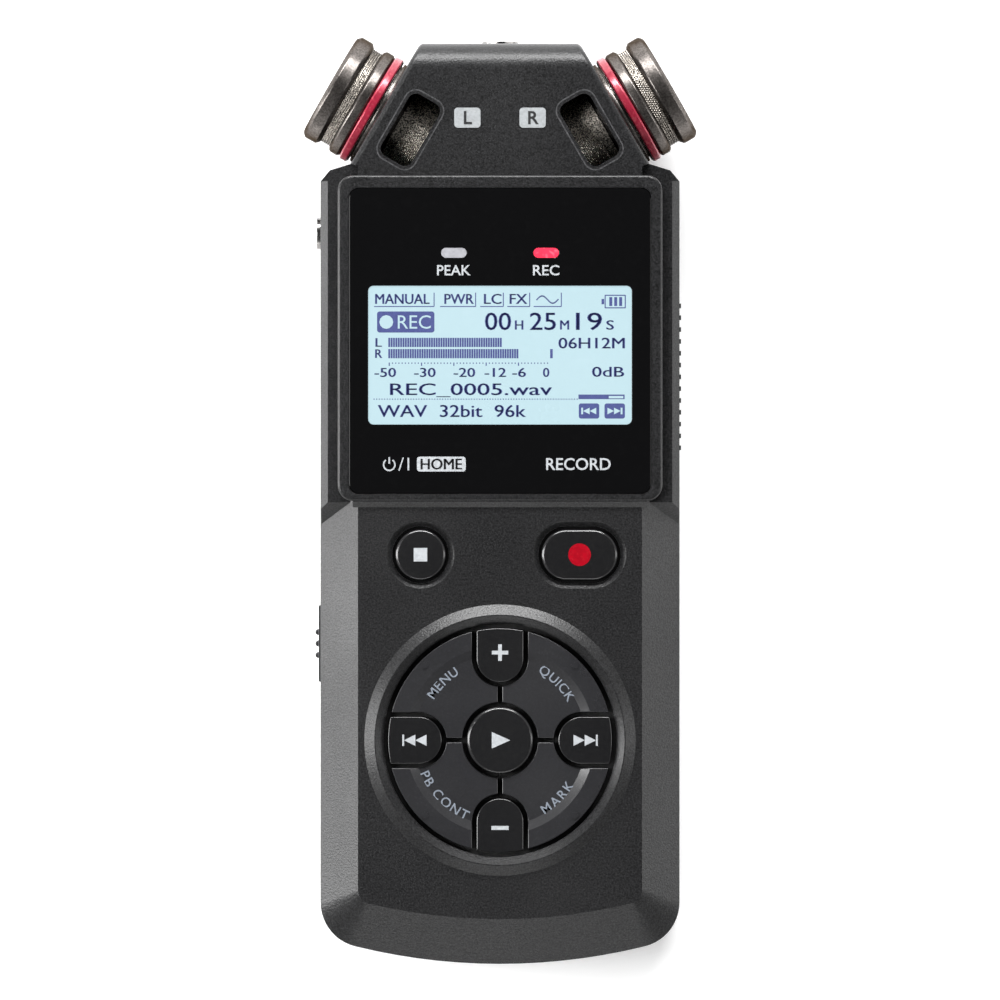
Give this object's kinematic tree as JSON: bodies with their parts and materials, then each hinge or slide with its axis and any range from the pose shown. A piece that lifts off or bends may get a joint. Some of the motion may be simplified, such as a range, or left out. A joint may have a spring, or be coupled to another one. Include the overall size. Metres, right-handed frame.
{
  "type": "handheld voice recorder",
  "caption": "Handheld stereo voice recorder with two angled microphone capsules, display window, round key pad, sliding battery door and card door.",
  "frame": {"origin": "middle of the back face, under the middle of the bounding box", "axes": "+X to the card door side, +Y to the microphone end, +Z out of the front face"},
  "size_m": [0.06, 0.1412, 0.026],
  "materials": {
    "case_charcoal": "satin",
    "window_black": "gloss",
    "lcd_pale": "satin",
    "gunmetal": "gloss",
    "grille_steel": "satin",
    "plated_steel": "satin",
    "jack_nickel": "gloss",
    "screw_steel": "satin",
    "red_band": "gloss",
    "key_gloss": "gloss",
    "key_satin": "satin",
    "inner_black": "matte",
    "soft_rubber": "matte",
    "lamp_grey": "gloss",
    "lamp_red": "gloss",
    "board_green": "satin",
    "cell_wrap": "gloss",
    "thread_brass": "satin",
    "tag_grey": "satin"
  },
  "bodies": {
    "chassis": {"backlight": "lcd_pale", "batteries": "cell_wrap", "battery_plates": "plated_steel", "battery_springs": "plated_steel", "board_chips": "inner_black", "board_screws": "screw_steel", "card_socket": "plated_steel", "case_screws": "screw_steel", "channel_plates": "tag_grey", "display_window": "window_black", "front_case": "case_charcoal", "hold_switch": "plated_steel", "key_mat": "soft_rubber", "lcd_frame": "inner_black", "lcd_panel": "lcd_pale", "left_mic_band": "red_band", "left_mic_barrel": "grille_steel", "left_mic_base": "gunmetal", "left_mic_boot": "soft_rubber", "left_mic_capsule": "plated_steel", "left_mic_collar": "gunmetal", "left_mic_grille": "grille_steel", "left_mic_guard": "gunmetal", "left_mic_mesh": "grille_steel", "main_board": "board_green", "memory_card": "inner_black", "mic_jack": "jack_nickel", "peak_light": "lamp_grey", "phones_jack": "jack_nickel", "rear_case": "case_charcoal", "record_light": "lamp_red", "right_mic_band": "red_band", "right_mic_barrel": "grille_steel", "right_mic_base": "gunmetal", "right_mic_boot": "soft_rubber", "right_mic_capsule": "plated_steel", "right_mic_collar": "gunmetal", "right_mic_grille": "grille_steel", "right_mic_guard": "gunmetal", "right_mic_mesh": "grille_steel", "speaker": "inner_black", "tact_switches": "plated_steel", "tripod_nut": "thread_brass", "usb_socket": "plated_steel"},
    "key_stop": {"key_stop": "key_gloss"},
    "key_record": {"key_record": "key_gloss"},
    "key_play": {"key_play": "key_gloss"},
    "key_plus": {"key_plus": "key_gloss"},
    "key_minus": {"key_minus": "key_gloss"},
    "key_previous": {"key_previous": "key_gloss"},
    "key_next": {"key_next": "key_gloss"},
    "key_menu": {"key_menu": "key_satin"},
    "key_quick": {"key_quick": "key_satin"},
    "key_mark": {"key_mark": "key_satin"},
    "key_playback": {"key_playback": "key_satin"},
    "hold_knob": {"hold_knob": "key_satin"},
    "battery_door": {"battery_door": "case_charcoal"},
    "card_door": {"card_door": "case_charcoal"}
  },
  "joints": [
    {"name": "stop_press", "type": "slide", "parent": "chassis", "child": "key_stop", "axis": [0, 0, -1], "range_m": [0, 0.0003], "stiffness_N_per_m": 900},
    {"name": "record_press", "type": "slide", "parent": "chassis", "child": "key_record", "axis": [0, 0, -1], "range_m": [0, 0.0003], "stiffness_N_per_m": 900},
    {"name": "play_press", "type": "slide", "parent": "chassis", "child": "key_play", "axis": [0, 0, -1], "range_m": [0, 0.0003], "stiffness_N_per_m": 900},
    {"name": "plus_press", "type": "slide", "parent": "chassis", "child": "key_plus", "axis": [0, 0, -1], "range_m": [0, 0.0003], "stiffness_N_per_m": 900},
    {"name": "minus_press", "type": "slide", "parent": "chassis", "child": "key_minus", "axis": [0, 0, -1], "range_m": [0, 0.0003], "stiffness_N_per_m": 900},
    {"name": "previous_press", "type": "slide", "parent": "chassis", "child": "key_previous", "axis": [0, 0, -1], "range_m": [0, 0.0003], "stiffness_N_per_m": 900},
    {"name": "next_press", "type": "slide", "parent": "chassis", "child": "key_next", "axis": [0, 0, -1], "range_m": [0, 0.0003], "stiffness_N_per_m": 900},
    {"name": "menu_press", "type": "slide", "parent": "chassis", "child": "key_menu", "axis": [0, 0, -1], "range_m": [0, 0.0003], "stiffness_N_per_m": 900},
    {"name": "quick_press", "type": "slide", "parent": "chassis", "child": "key_quick", "axis": [0, 0, -1], "range_m": [0, 0.0003], "stiffness_N_per_m": 900},
    {"name": "mark_press", "type": "slide", "parent": "chassis", "child": "key_mark", "axis": [0, 0, -1], "range_m": [0, 0.0003], "stiffness_N_per_m": 900},
    {"name": "playback_press", "type": "slide", "parent": "chassis", "child": "key_playback", "axis": [0, 0, -1], "range_m": [0, 0.0003], "stiffness_N_per_m": 900},
    {"name": "hold_slide", "type": "slide", "parent": "chassis", "child": "hold_knob", "axis": [0, 1, 0], "range_m": [0, 0.002]},
    {"name": "battery_door_slide", "type": "slide", "parent": "chassis", "child": "battery_door", "axis": [0, -1, 0], "range_m": [0, 0.062]},
    {"name": "card_door_hinge", "type": "hinge", "parent": "chassis", "child": "card_door", "pos_m": [0.02655, 0.0187, 0.01475], "axis": [0, 1, 0], "range_deg": [0, 90]}
  ]
}
